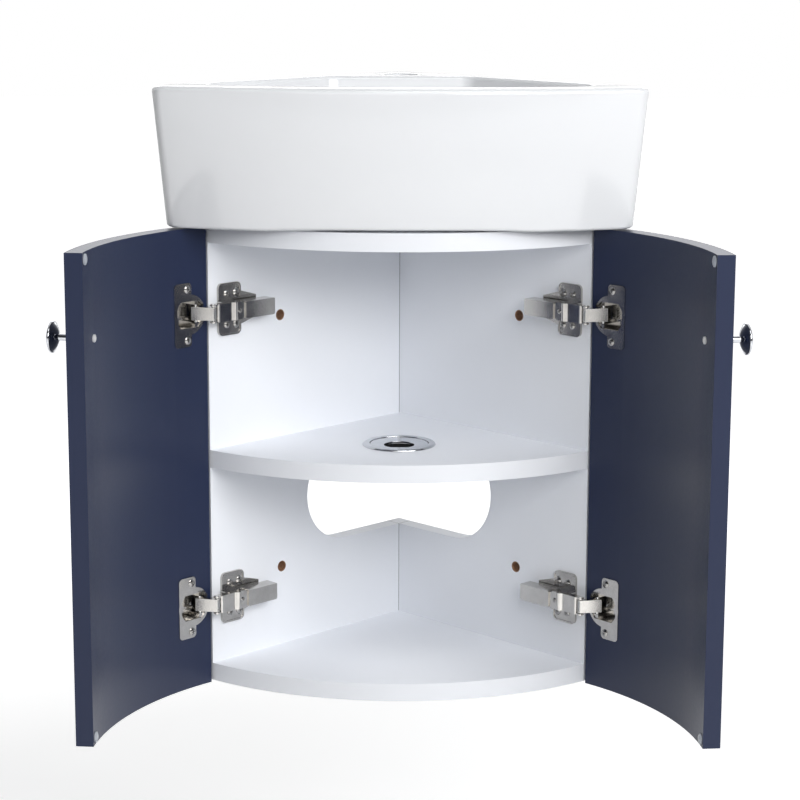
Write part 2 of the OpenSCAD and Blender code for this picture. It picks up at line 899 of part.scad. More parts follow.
module basin_body() {
    hull() {
        basin_slice(0, basin_foot_r, 0);
        basin_slice(basin_foot_r / basin_h / 2, basin_foot_r / 4, basin_foot_r / 3);
        basin_slice(basin_foot_r / basin_h, 0, basin_foot_r);
        basin_slice(1 - rim_round / basin_h, 0, basin_h - rim_round);
        basin_slice(1, rim_round / 4, basin_h - rim_round / 3);
        basin_slice(1, rim_round, basin_h - slice_t);
    }
}

// Plan of the bowl: inset from the rim, grown by a wall's thickness, and rounded
module bowl_plan(inset, grow, corner) {
    offset(r = corner) offset(delta = -corner) intersection() {
        offset(delta = grow - rim_w - inset) polygon(basin_outline(1));
        translate([0, front_rim_w - rim_w])
            offset(delta = grow - rim_w - inset) polygon(basin_outline(1));
        translate([-basin_arm, -2 * basin_arm])
            square([2 * basin_arm, 2 * basin_arm - ledge_y + grow - inset]);
    }
}

module bowl_space(grow) {
    floor_z = cabinet_h + basin_h - bowl_depth - grow;
    hull() {
        translate([0, 0, floor_z]) linear_extrude(slice_t)
            bowl_plan(bowl_taper, grow, bowl_floor_round, $fn = hull_fn);
        translate([0, 0, floor_z + bowl_foot_h]) linear_extrude(slice_t)
            bowl_plan(bowl_taper / 2, grow, bowl_corner_round, $fn = hull_fn);
        translate([0, 0, cabinet_h + basin_h]) linear_extrude(over)
            bowl_plan(0, grow, bowl_corner_round, $fn = hull_fn);
    }
}

module basin_hollow() {
    hull() {
        translate([0, 0, -over]) basin_slice(0, ceramic_t, 0);
        basin_slice(1, ceramic_t, basin_h - ceramic_t - slice_t);
    }
}

module basin() {
    color(ceramic) difference() {
        basin_body();
        bowl_space(0);
        difference() {
            basin_hollow();
            bowl_space(ceramic_t);
        }
        translate([0, -tap_y, cabinet_h + basin_h - ceramic_t - over])
            cylinder(d = tap_hole_d, h = ceramic_t + 2 * over);
        translate([0, -waste_y, cabinet_h + basin_h - bowl_depth - ceramic_t - over])
            cylinder(d = waste_hole_d, h = ceramic_t + 2 * over);
    }
}

left_wall_board();
right_wall_board();
top_board();
shelf();
bottom_board();
board_screws(false);  // left_board_screws
board_screws(true);  // right_board_screws
corner_screws();
basin();
outlet_ring();
outlet_cap();
outlet_seal();
door(false);  // left_door
door(true);  // right_door
knob(false);  // left_knob
knob(true);  // right_knob
knob_screw(false);  // left_knob_screw
knob_screw(true);  // right_knob_screw
door_bumpers(false);  // left_door_bumpers
door_bumpers(true);  // right_door_bumpers
cup(false, true);  // left_upper_cup
cup(false, false);  // left_lower_cup
cup(true, true);  // right_upper_cup
cup(true, false);  // right_lower_cup
cup_pin_rod(false, true);  // left_upper_cup_pin
cup_pin_rod(false, false);  // left_lower_cup_pin
cup_pin_rod(true, true);  // right_upper_cup_pin
cup_pin_rod(true, false);  // right_lower_cup_pin
link(false, true);  // left_upper_link
link(false, false);  // left_lower_link
link(true, true);  // right_upper_link
link(true, false);  // right_lower_link
arm(false, true);  // left_upper_arm
arm(false, false);  // left_lower_arm
arm(true, true);  // right_upper_arm
arm(true, false);  // right_lower_arm
arm_pin_rod(false, true);  // left_upper_arm_pin
arm_pin_rod(false, false);  // left_lower_arm_pin
arm_pin_rod(true, true);  // right_upper_arm_pin
arm_pin_rod(true, false);  // right_lower_arm_pin
arm_cover(false, true);  // left_upper_arm_cover
arm_cover(false, false);  // left_lower_arm_cover
arm_cover(true, true);  // right_upper_arm_cover
arm_cover(true, false);  // right_lower_arm_cover
base_plate(false, true);  // left_upper_base_plate
base_plate(false, false);  // left_lower_base_plate
base_plate(true, true);  // right_upper_base_plate
base_plate(true, false);  // right_lower_base_plate
cup_screws(false);  // left_cup_screws
cup_screws(true);  // right_cup_screws
plate_screws(false);  // left_plate_screws
plate_screws(true);  // right_plate_screws
arm_screws(false);  // left_arm_screws
arm_screws(true);  // right_arm_screws
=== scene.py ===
import json
import math

import bmesh
import bpy
from mathutils import Matrix, Vector


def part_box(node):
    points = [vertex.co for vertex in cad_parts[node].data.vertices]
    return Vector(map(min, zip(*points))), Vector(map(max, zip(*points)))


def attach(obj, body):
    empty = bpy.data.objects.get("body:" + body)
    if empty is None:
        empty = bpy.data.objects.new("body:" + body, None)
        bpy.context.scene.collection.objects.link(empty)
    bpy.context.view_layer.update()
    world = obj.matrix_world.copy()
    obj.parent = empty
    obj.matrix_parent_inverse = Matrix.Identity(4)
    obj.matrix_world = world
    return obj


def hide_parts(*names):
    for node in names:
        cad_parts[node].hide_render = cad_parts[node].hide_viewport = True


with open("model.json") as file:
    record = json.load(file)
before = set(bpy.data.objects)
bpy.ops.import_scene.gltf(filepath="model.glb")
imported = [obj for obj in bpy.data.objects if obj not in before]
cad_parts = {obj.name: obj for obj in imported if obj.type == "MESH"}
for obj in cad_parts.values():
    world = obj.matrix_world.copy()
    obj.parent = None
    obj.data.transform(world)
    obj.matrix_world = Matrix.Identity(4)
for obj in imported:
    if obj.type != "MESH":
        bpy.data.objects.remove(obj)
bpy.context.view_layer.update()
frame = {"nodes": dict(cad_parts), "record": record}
NODES = frame["nodes"]
SCENE = bpy.context.scene
SCENE.view_settings.view_transform = "Standard"

# Lengths are in metres. The floor lies below the cabinet, which hangs on the walls
MM = 0.001
ROOT2 = math.sqrt(2)
FLOOR_Z = -0.30


# Camera

def add_camera():
    """The camera of the photograph: where it stood, how far it looked down and its slight roll."""
    focal_px, image_px, sensor_mm = 2332.26, 800, 36
    place = (0, -2.36674, 0.71291)
    pitch, yaw, roll = 0.1988, -0.0003, 0.0034
    data = bpy.data.cameras.new("camera")
    data.sensor_width = sensor_mm
    data.lens = focal_px / image_px * sensor_mm
    camera = bpy.data.objects.new("camera", data)
    SCENE.collection.objects.link(camera)
    turn = (Matrix.Rotation(yaw, 4, "Z") @ Matrix.Rotation(math.pi / 2 - pitch, 4, "X")
            @ Matrix.Rotation(roll, 4, "Z"))
    camera.matrix_world = Matrix.Translation(place) @ turn
    SCENE.camera = camera


# Node trees

# Sockets of a mix node, for colours
MIX_FACTOR, MIX_FIRST, MIX_SECOND = 0, 6, 7
MIX_RESULT = 2


class Nodes:
    """A short way to write a node tree. Inputs go by their name or number."""

    def __init__(self, tree):
        self.tree = tree

    def add(self, kind, **settings):
        node = self.tree.nodes.new(kind)
        for name, value in settings.items():
            setattr(node, name, value)
        return node

    def feed(self, node, name, value):
        """Links a socket to an input, or gives the input a plain value."""
        if isinstance(value, bpy.types.NodeSocket):
            self.tree.links.new(value, node.inputs[name])
        else:
            node.inputs[name].default_value = value

    def feed_all(self, node, values):
        for name, value in values.items():
            self.feed(node, name, value)

    def place(self, space="Object"):
        return self.add("ShaderNodeTexCoord").outputs[space]

    def split(self, vector):
        node = self.add("ShaderNodeSeparateXYZ")
        self.feed(node, "Vector", vector)
        return node.outputs

    def noise(self, scale, detail=4, rough=0.55, stretch=None):
        """Noise in the object's own space, with a scale in blobs a metre."""
        place = self.place()
        if stretch:
            mapping = self.add("ShaderNodeMapping")
            self.feed_all(mapping, {"Vector": place, "Scale": stretch})
            place = mapping.outputs["Vector"]
        node = self.add("ShaderNodeTexNoise")
        self.feed_all(node, {"Vector": place, "Scale": scale, "Detail": detail, "Roughness": rough})
        return node.outputs["Fac"]

    def ramp(self, fac, stops):
        """A colour ramp with two stops, each a place and a colour."""
        node = self.add("ShaderNodeValToRGB")
        self.feed(node, "Fac", fac)
        for element, (place, colour) in zip(node.color_ramp.elements, stops):
            element.position = place
            element.color = (*colour, 1)
        return node.outputs["Color"]

    def math(self, operation, *values):
        node = self.add("ShaderNodeMath", operation=operation)
        self.feed_all(node, dict(enumerate(values)))
        return node.outputs[0]

    def mix(self, factor, first, second):
        node = self.add("ShaderNodeMix", data_type="RGBA")
        self.feed_all(node, {MIX_FACTOR: factor, MIX_FIRST: first, MIX_SECOND: second})
        return node.outputs[MIX_RESULT]

    def span(self, fac, low, high, start=0, end=1):
        """Maps the range from start to end to the range from low to high."""
        node = self.add("ShaderNodeMapRange")
        self.feed_all(node, {"Value": fac, "From Min": start, "From Max": end})
        self.feed_all(node, {"To Min": low, "To Max": high})
        return node.outputs["Result"]

    def bump(self, height, strength, distance):
        node = self.add("ShaderNodeBump")
        self.feed_all(node, {"Height": height, "Strength": strength, "Distance": distance})
        return node.outputs["Normal"]


# Materials

def material(name):
    """A new material with its shader, and the writer for its nodes."""
    made = bpy.data.materials.new(name)
    made.use_nodes = True
    shader = made.node_tree.nodes["Principled BSDF"]
    return made, shader, Nodes(made.node_tree)


# Places on a ramp, round the middle of a noise
RAMP_START, RAMP_END = 0.3, 0.7


def shade(low, high):
    """Two stops of a ramp, from one colour to the other."""
    return [(RAMP_START, low), (RAMP_END, high)]


# Fixing holes in the wall boards: distance ahead of the corner, radius, middle height and half pitch
HOLE_AHEAD, HOLE_R = 163.5 * MM, 5.4 * MM
HOLE_MID_Z, HOLE_HALF_PITCH = 222.25 * MM, 125.75 * MM
CHIP_COLOURS = (0.16, 0.075, 0.035), (0.50, 0.29, 0.17)

# Joint between the wall boards, which runs up the corner of the cabinet
BOARD_T = 17 * MM
CORNER_BACK = BOARD_T * ROOT2
JOINT_HALF = 0.35 * MM
JOINT_COLOUR = (0.05, 0.045, 0.04, 1)
JOINT_SHARE = 0.75


def wall_marks(n, colour):
    """Colours the raw chipboard inside the fixing holes and the dark joint between the wall boards."""
    x, y, z = n.split(n.place())
    across = n.math("ABSOLUTE", x)
    ahead = n.math("DIVIDE", n.math("SUBTRACT", across, n.math("ADD", y, CORNER_BACK)), ROOT2)
    along = n.math("SUBTRACT", ahead, HOLE_AHEAD)
    above = n.math("SUBTRACT", n.math("ABSOLUTE", n.math("SUBTRACT", z, HOLE_MID_Z)), HOLE_HALF_PITCH)
    square = n.math("ADD", n.math("MULTIPLY", along, along), n.math("MULTIPLY", above, above))
    in_hole = n.math("LESS_THAN", square, HOLE_R * HOLE_R)
    in_joint = n.math("LESS_THAN", n.math("ABSOLUTE", ahead), JOINT_HALF)
    chips = n.ramp(n.noise(scale=420, detail=6, rough=0.7), shade(*CHIP_COLOURS))
    colour = n.mix(n.math("MULTIPLY", in_joint, JOINT_SHARE), colour, JOINT_COLOUR)
    return n.mix(in_hole, colour, chips)


def melamine(name, low, high, marked=False):
    made, shader, n = material(name)
    pebble = n.noise(scale=900, detail=3)
    colour = n.ramp(n.noise(scale=6, detail=3), shade(low, high))
    n.feed_all(shader, {
        "Base Color": wall_marks(n, colour) if marked else colour,
        "Roughness": n.span(pebble, 0.38, 0.52),
        "Normal": n.bump(pebble, strength=0.12, distance=0.0002),
        "Specular IOR Level": 0.3,
    })
    return made


def rubber():
    made, shader, n = material("black_rubber")
    grain = n.noise(scale=700)
    n.feed_all(shader, {
        "Base Color": n.ramp(grain, shade((0.010, 0.010, 0.011), (0.022, 0.022, 0.024))),
        "Roughness": n.span(grain, 0.55, 0.75),
        "Normal": n.bump(grain, strength=0.25, distance=0.0003),
    })
    return made


def lacquer():
    made, shader, n = material("navy_lacquer")
    clouds = n.noise(scale=5, detail=3)
    peel = n.noise(scale=260, detail=2)
    n.feed_all(shader, {
        "Base Color": n.ramp(clouds, shade((0.0135, 0.021, 0.056), (0.016, 0.0245, 0.063))),
        "Roughness": n.span(peel, 0.33, 0.42),
        "Normal": n.bump(peel, strength=0.06, distance=0.0003),
        "Specular IOR Level": 0.32,
    })
    return made


def glaze():
    made, shader, n = material("white_glaze")
    clouds = n.noise(scale=4, detail=3)
    waves = n.noise(scale=18, detail=2)
    n.feed_all(shader, {
        "Base Color": n.ramp(clouds, shade((0.805, 0.82, 0.84), (0.83, 0.84, 0.86))),
        "Roughness": n.span(waves, 0.10, 0.16),
        "Normal": n.bump(waves, strength=0.05, distance=0.002),
        "Coat Weight": 0.15,
        "Coat Roughness": 0.05,
    })
    return made


def nickel(name, low, high, rough, metal=1):
    """Brushed metal. The brush marks run along Z."""
    made, shader, n = material(name)
    clouds = n.noise(scale=90)
    grain = n.noise(scale=1400, detail=3, stretch=(1, 1, 0.15))
    n.feed_all(shader, {
        "Base Color": n.ramp(clouds, shade(low, high)),
        "Roughness": n.span(clouds, rough - 0.05, rough + 0.06),
        "Normal": n.bump(grain, strength=0.10, distance=0.0001),
        "Metallic": metal,
    })
    return made


def chrome(name, low, high, rough):
    made, shader, n = material(name)
    smears = n.noise(scale=60, detail=3)
    n.feed_all(shader, {
        "Base Color": n.ramp(smears, shade(low, high)),
        "Roughness": n.span(smears, rough, rough + 0.05),
        "Normal": n.bump(n.noise(scale=300, detail=2), strength=0.02, distance=0.0002),
        "Metallic": 1,
    })
    return made


def clear_plastic():
    made, shader, n = material("clear_bumper")
    clouds = n.noise(scale=500, detail=3)
    n.feed_all(shader, {
        "Base Color": n.ramp(clouds, shade((0.62, 0.65, 0.70), (0.72, 0.75, 0.80))),
        "Roughness": n.span(clouds, 0.25, 0.4),
        "Transmission Weight": 0.5,
        "IOR": 1.45,
    })
    return made


BOARD_COLOURS = (0.875, 0.895, 0.935), (0.90, 0.92, 0.96)
MELAMINE = melamine("white_melamine", *BOARD_COLOURS)
WALL_MELAMINE = melamine("white_wall_melamine", *BOARD_COLOURS, marked=True)
RUBBER = rubber()
LACQUER = lacquer()
GLAZE = glaze()
PLATE_NICKEL = nickel("plate_nickel", (0.42, 0.405, 0.385), (0.52, 0.505, 0.48), rough=0.16)
HINGE_NICKEL = nickel("hinge_nickel", (0.47, 0.455, 0.435), (0.58, 0.565, 0.54), rough=0.14)
SCREW_STEEL = nickel("screw_steel", (0.30, 0.295, 0.285), (0.40, 0.39, 0.38), rough=0.15)
# Painted highlight: a brighter, rougher, half-metal nickel that makes bevelled edges and the knob screws
# shine
PAINTED_HIGHLIGHT_NICKEL = nickel("painted_highlight_nickel", (0.84, 0.83, 0.81), (0.93, 0.92, 0.90), rough=0.30, metal=0.5)
PIN_STEEL = nickel("pin_steel", (0.50, 0.50, 0.50), (0.62, 0.62, 0.61), rough=0.16)
KNOB_CHROME = chrome("knob_chrome", (0.50, 0.51, 0.54), (0.60, 0.61, 0.64), rough=0.05)
OUTLET_CHROME = chrome("outlet_chrome", (0.55, 0.56, 0.58), (0.63, 0.64, 0.66), rough=0.10)
BUMPER = clear_plastic()
SLOT_MATERIALS = {
    "white_board": MELAMINE, "navy_door": LACQUER, "ceramic": GLAZE, "knob_chrome": KNOB_CHROME,
    "outlet_chrome": OUTLET_CHROME, "clear_bumper": BUMPER, "zinc_screw": SCREW_STEEL,
    "steel_pin": PIN_STEEL, "plate_nickel": PLATE_NICKEL, "hinge_nickel": HINGE_NICKEL,
    "black_rubber": RUBBER,
}
NODE_MATERIALS = {
    "left_wall_board": WALL_MELAMINE, "right_wall_board": WALL_MELAMINE,
    # The knob screws are made wholly of the painted-highlight nickel
    "left_knob_screw": PAINTED_HIGHLIGHT_NICKEL, "right_knob_screw": PAINTED_HIGHLIGHT_NICKEL,
}


# CAD nodes

WELD_GAP = 0.002 * MM
BEVEL_STEPS, BEVEL_ANGLE = 3, 40
SMOOTH_ANGLE = 35


def dress_node(name, finish, edge, painted_highlight_edge):
    """Gives a CAD node its material, and rounds its edges, which may get a brighter material of their own
    as a painted highlight.
    """
    node = NODES[name]
    node.data.materials.clear()
    node.data.materials.append(finish)
    if painted_highlight_edge:
        node.data.materials.append(painted_highlight_edge)
    weld = node.modifiers.new("weld", "WELD")
    weld.merge_threshold = WELD_GAP
    if edge:
        bevel = node.modifiers.new("edges", "BEVEL")
        bevel.width = edge
        bevel.segments = BEVEL_STEPS
        bevel.limit_method = "ANGLE"
        bevel.angle_limit = math.radians(BEVEL_ANGLE)
        bevel.material = 1 if painted_highlight_edge else 0
    for face in node.data.polygons:
        face.use_smooth = True
    smooth_by_angle(node)
    flat_faces = node.modifiers.new("flat_faces", "WEIGHTED_NORMAL")
    flat_faces.keep_sharp = True


def smooth_by_angle(piece):
    """Shades a piece smooth, and keeps the edges that are sharper than the angle."""
    modifier = piece.modifiers.new("smooth", "NODES")
    modifier.node_group = SMOOTH_GROUP


def smooth_group():
    """The node group that all pieces share: smooth faces, and smooth edges up to the angle."""
    group = bpy.data.node_groups.new("smooth_by_angle", "GeometryNodeTree")
    group.interface.new_socket("Geometry", in_out="INPUT", socket_type="NodeSocketGeometry")
    group.interface.new_socket("Geometry", in_out="OUTPUT", socket_type="NodeSocketGeometry")
    nodes, links = group.nodes, group.links
    start, end = nodes.new("NodeGroupInput"), nodes.new("NodeGroupOutput")
    angle = nodes.new("GeometryNodeInputMeshEdgeAngle")
    compare = nodes.new("FunctionNodeCompare")
    compare.operation = "LESS_THAN"
    compare.inputs[1].default_value = math.radians(SMOOTH_ANGLE)
    links.new(angle.outputs["Unsigned Angle"], compare.inputs[0])
    faces, edges = nodes.new("GeometryNodeSetShadeSmooth"), nodes.new("GeometryNodeSetShadeSmooth")
    faces.domain = "FACE"
    edges.domain = "EDGE"
    links.new(start.outputs[0], faces.inputs["Geometry"])
    links.new(faces.outputs[0], edges.inputs["Geometry"])
    links.new(compare.outputs[0], edges.inputs["Shade Smooth"])
    links.new(edges.outputs[0], end.inputs[0])
    return group


SMOOTH_GROUP = smooth_group()
# Slots whose bevelled edges get the brighter nickel as a painted highlight
PAINTED_HIGHLIGHT_SLOTS = {"plate_nickel", "hinge_nickel", "zinc_screw"}
EDGES = {
    "white_board": 0.6 * MM, "navy_door": 1.0 * MM, "plate_nickel": 0.6 * MM,
    "hinge_nickel": 0.4 * MM, "outlet_chrome": 0.6 * MM, "zinc_screw": 0.3 * MM,
}


def dress_nodes():
    for part in frame["record"]["subparts"]:
        name, slot = part["node"], part["material_slot"]
        # Bevels of these slots carry the painted highlight
        painted_highlight_edge = PAINTED_HIGHLIGHT_NICKEL if slot in PAINTED_HIGHLIGHT_SLOTS else None
        dress_node(name, NODE_MATERIALS.get(name, SLOT_MATERIALS[slot]), EDGES.get(slot), painted_highlight_edge)


# Meshes

def new_piece(name, mesh_data, finish, body, slot, *replaced):
    """Turns a bmesh into a piece that rides on a body and stands for the CAD nodes it replaces."""
    mesh = bpy.data.meshes.new(name)
    mesh_data.to_mesh(mesh)
    mesh_data.free()
    mesh.materials.append(finish)
    for face in mesh.polygons:
        face.use_smooth = True
    piece = bpy.data.objects.new(name, mesh)
    SCENE.collection.objects.link(piece)
    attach(piece, body)
    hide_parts(*replaced)
    return piece


def loft(rings):
    """A skin over rings of equally many points, with a flat cap at each end."""
    skin = bmesh.new()
    rows = [[skin.verts.new(point) for point in ring] for ring in rings]
    count = len(rings[0])
    for row, after in zip(rows, rows[1:]):
        for i in range(count):
            j = (i + 1) % count
            skin.faces.new((row[i], row[j], after[j], after[i]))
    skin.faces.new(rows[0])
    skin.faces.new(rows[-1])
    bmesh.ops.recalc_face_normals(skin, faces=skin.faces)
    return skin


def new_tool(mesh_data):
    """An object that only cuts other objects."""
    mesh = bpy.data.meshes.new("tool")
    mesh_data.to_mesh(mesh)
    mesh_data.free()
    tool = bpy.data.objects.new("tool", mesh)
    SCENE.collection.objects.link(tool)
    return tool


def cut(piece, mesh_data):
    """Cuts a closed mesh out of a piece, for good."""
    tool = new_tool(mesh_data)
    modifier = piece.modifiers.new("cut", "BOOLEAN")
    modifier.object = tool
    modifier.solver = "EXACT"
    bpy.context.view_layer.update()
    seen = piece.evaluated_get(bpy.context.evaluated_depsgraph_get())
    result = bpy.data.meshes.new_from_object(seen)
    piece.modifiers.remove(modifier)
    old, tool_mesh = piece.data, tool.data
    piece.data = result
    bpy.data.objects.remove(tool)
    bpy.data.meshes.remove(old)
    bpy.data.meshes.remove(tool_mesh)


def mesh_of(piece):
    """The mesh of an object as a bmesh, and the object is gone."""
    mesh_data = bmesh.new()
    mesh_data.from_mesh(piece.data)
    mesh = piece.data
    bpy.data.objects.remove(piece)
    bpy.data.meshes.remove(mesh)
    return mesh_data


LATHE_STEPS = 96


def lathe(profile):
    """A closed turned solid round Z. The profile runs from one end of the axis to the other."""
    turned = bmesh.new()
    turns = [2 * math.pi * i / LATHE_STEPS for i in range(LATHE_STEPS)]
    rows = []
    for radius, z in profile:
        if radius == 0:
            rows.append([turned.verts.new((0, 0, z))])
        else:
            rows.append([turned.verts.new((radius * math.cos(a), radius * math.sin(a), z)) for a in turns])
    for row, after in zip(rows, rows[1:]):
        for i in range(LATHE_STEPS):
            j = (i + 1) % LATHE_STEPS
            around = [row[i % len(row)], row[j % len(row)], after[j % len(after)], after[i % len(after)]]
            turned.faces.new(list(dict.fromkeys(around)))
    bmesh.ops.recalc_face_normals(turned, faces=turned.faces)
    return turned


# Basin

# Heights come from the CAD's basin
TOP_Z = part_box("basin")[1].z
FOOT_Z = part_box("basin")[0].z
BASIN_H = TOP_Z - FOOT_Z

# Plan at the rim: where the sides end, where the front is, and the short end faces
BASIN_TIP = 323 * MM / ROOT2
BASIN_FRONT = 276 * MM
BASIN_END = 12 * MM
END_SLANT = 2 * MM

# How far the foot is drawn in
END_TAPER = 5.5 * MM
SIDE_TAPER = 7.5 * MM
FRONT_TAPER = 8 * MM

# Outer edges, walls and rim
TIP_ROUND = 12 * MM
FOOT_ROUND = 3 * MM
RIM_ROUND = 5 * MM
CERAMIC_T = 10 * MM
RIM_W = 13 * MM
FRONT_RIM_W = 32 * MM
LEDGE_Y = 86 * MM

# Bowl: its lip, walls, floor, and how far the floor falls to the waste
LIP_ROUND = 4 * MM
HAIR = 0.05 * MM
BOWL_FLOOR_Z = TOP_Z - 95 * MM
BOWL_TAPER = 17 * MM
BOWL_CORNER = 22 * MM
FLOOR_CORNER = 30 * MM
FLOOR_TAPER = 34 * MM
FLOOR_H = 14 * MM
FLOOR_FALL = 3 * MM

# Waste hole and tap hole
WASTE_Y = 176 * MM
WASTE_R = 22.5 * MM
TAP_Y = 54 * MM
TAP_R = 17.5 * MM
TAP_ROUND = 2 * MM

# Arch of the foot's front: height, half length, how far up it fades out, and where the front begins
ARCH_H, ARCH_HALF = 2.4 * MM, 120 * MM
ARCH_FADE, ARCH_BACK = 20 * MM, 200 * MM

# Steps of the arcs, and the directions that the walls face, in degrees
QUARTER_STEPS = 4
CORNER_STEPS = 10
FRONT_STEPS = 48
BOWL_STEPS = 6
FALL_STEPS = 5
WALL_TURNS = (45, 135)


def basin_front_arc(up):
    """Centre and radius of the basin's front at a share of its height."""
    tip = BASIN_TIP - SIDE_TAPER * (1 - up)
    front = BASIN_FRONT - FRONT_TAPER * (1 - up)
    half, side = tip - END_SLANT, tip + BASIN_END - END_TAPER * (1 - up)
    rise = front - side
    radius = (half * half + rise * rise) / (2 * rise)
    return radius - front, radius


def line_at(turn, distance):
    """A line by the angle of its normal in degrees and its distance from the origin."""
    return math.cos(math.radians(turn)), math.sin(math.radians(turn)), distance


def meet_lines(first, second):
    """Where two lines meet."""
    (a, b, c), (d, e, f) = first, second
    under = a * e - b * d
    return (c * e - b * f) / under, (a * f - c * d) / under


def meet_front(line, centre_y, radius):
    """Where a line meets the front arc, at the arc's lower half."""
    a, b, c = line
    off = c - b * centre_y
    along = math.sqrt(radius * radius - off * off)
    points = [(a * off + s * along * b, centre_y + b * off - s * along * a) for s in (-1, 1)]
    return min(points, key=lambda point: point[1])


def arc_points(centre, radius, start, end, steps):
    """Points on an arc, by the angle of its outward normal in degrees."""
    turns = [math.radians(start + (end - start) * i / steps) for i in range(steps + 1)]
    return [(centre[0] + radius * math.cos(a), centre[1] + radius * math.sin(a)) for a in turns]


def rounded_plan(back, back_turns, front, inset, corner):
    """Ring of points between straight lines at the back and an arc at the front, all corners rounded."""
    centre_y, radius = front
    deep = inset + corner
    lines = [line_at(turn, distance - deep) for turn, distance in back]
    left = meet_front(lines[-1], centre_y, radius - deep)
    right = (-left[0], left[1])
    lean = math.degrees(math.atan2(left[1] - centre_y, -left[0]))
    points = []
    for (one, other), (start, end) in zip(zip(lines, lines[1:]), back_turns):
        points += arc_points(meet_lines(one, other), corner, start, end, CORNER_STEPS)
    points += arc_points(left, corner, WALL_TURNS[1], 180 - lean, CORNER_STEPS)
    points += arc_points((0, centre_y), radius - inset, 180 - lean, 360 + lean, FRONT_STEPS)[1:-1]
    return points + arc_points(right, corner, lean, WALL_TURNS[0], CORNER_STEPS)


def basin_ring(up, inset, z):
    """The basin's outer plan at a share of its height, drawn in all round."""
    back = [(WALL_TURNS[0], 0), (WALL_TURNS[1], 0)]
    plan = rounded_plan(back, [WALL_TURNS], basin_front_arc(up), inset, TIP_ROUND)
    return [(x, y, z) for x, y in plan]


def bowl_ring(inset, corner, z):
    """The bowl's plan, drawn in from the rim, with the tap ledge across its back."""
    centre_y, radius = basin_front_arc(1)
    back = [(WALL_TURNS[0], -RIM_W), (90, -LEDGE_Y), (WALL_TURNS[1], -RIM_W)]
    front = (centre_y + FRONT_RIM_W - RIM_W, radius - RIM_W)
    plan = rounded_plan(back, [(WALL_TURNS[0], 90), (90, WALL_TURNS[1])], front, inset, corner)
    return [(x, y, z) for x, y in plan]


def quarter(radius):
    """Insets and depths of a rounded edge, from its flat side to its upright side."""
    turns = [math.pi / 2 * i / QUARTER_STEPS for i in range(QUARTER_STEPS + 1)]
    return [(radius * (1 - math.sin(a)), radius * (1 - math.cos(a))) for a in turns]


def basin_body():
    """The outside of the basin, from the foot to the rim."""
    rings = []
    for inset, rise in quarter(FOOT_ROUND):
        rings.append(basin_ring(rise / BASIN_H, inset, FOOT_Z + rise))
    for inset, fall in reversed(quarter(RIM_ROUND)):
        rings.append(basin_ring(1 - fall / BASIN_H, inset, TOP_Z - fall))
    return loft(rings)


def waste_ring(like, radius, z):
    """A ring round the waste hole whose points stand where those of another ring look from."""
    turns = [math.atan2(y + WASTE_Y, x) for x, y, _ in like]
    return [(radius * math.cos(a), radius * math.sin(a) - WASTE_Y, z) for a in turns]


def shares(steps):
    """The shares of a way that its equal steps reach."""
    return [i / steps for i in range(1, steps + 1)]


def bowl_rings(grow):
    """The bowl as rings from the rim down to the waste hole, with its walls moved out by a thickness."""
    wall_top, wall_foot = TOP_Z - LIP_ROUND, BOWL_FLOOR_Z + FLOOR_H
    floor_z = BOWL_FLOOR_Z - grow
    rings = []
    if grow:
        rings.append(bowl_ring(-grow, BOWL_CORNER + grow, TOP_Z))
    else:
        for inset, fall in quarter(LIP_ROUND):
            rings.append(bowl_ring(-inset, BOWL_CORNER + inset, TOP_Z + HAIR - fall))
        rings.insert(0, bowl_ring(-LIP_ROUND - HAIR, BOWL_CORNER + LIP_ROUND, TOP_Z + MM))
    for share in shares(BOWL_STEPS):
        z = wall_top + (wall_foot - wall_top) * share
        rings.append(bowl_ring(BOWL_TAPER * share - grow, BOWL_CORNER + grow, z))
    for share in shares(BOWL_STEPS):
        turn = math.pi / 2 * share
        inset = BOWL_TAPER + (FLOOR_TAPER - BOWL_TAPER) * (1 - math.cos(turn))
        corner = BOWL_CORNER + (FLOOR_CORNER - BOWL_CORNER) * share
        z = wall_foot - (FLOOR_H - FLOOR_FALL + grow) * math.sin(turn)
        rings.append(bowl_ring(inset - grow, corner + grow, z))
    edge = rings[-1]
    hole = waste_ring(edge, WASTE_R + LIP_ROUND, floor_z)
    for share in shares(FALL_STEPS):
        z = floor_z + (1 - share) ** 2 * FLOOR_FALL
        rings.append([(a[0] + (b[0] - a[0]) * share, a[1] + (b[1] - a[1]) * share, z)
                      for a, b in zip(edge, hole)])
    return rings


def arch_foot(piece):
    """Lifts the middle of the front's foot a little off the board, as the photograph shows."""
    for vertex in piece.data.vertices:
        x, y, z = vertex.co
        fade = 1 - (z - FOOT_Z) / ARCH_FADE
        if y < -ARCH_BACK and fade > 0 and abs(x) < ARCH_HALF:
            vertex.co.z += ARCH_H * (1 - (x / ARCH_HALF) ** 4) * fade


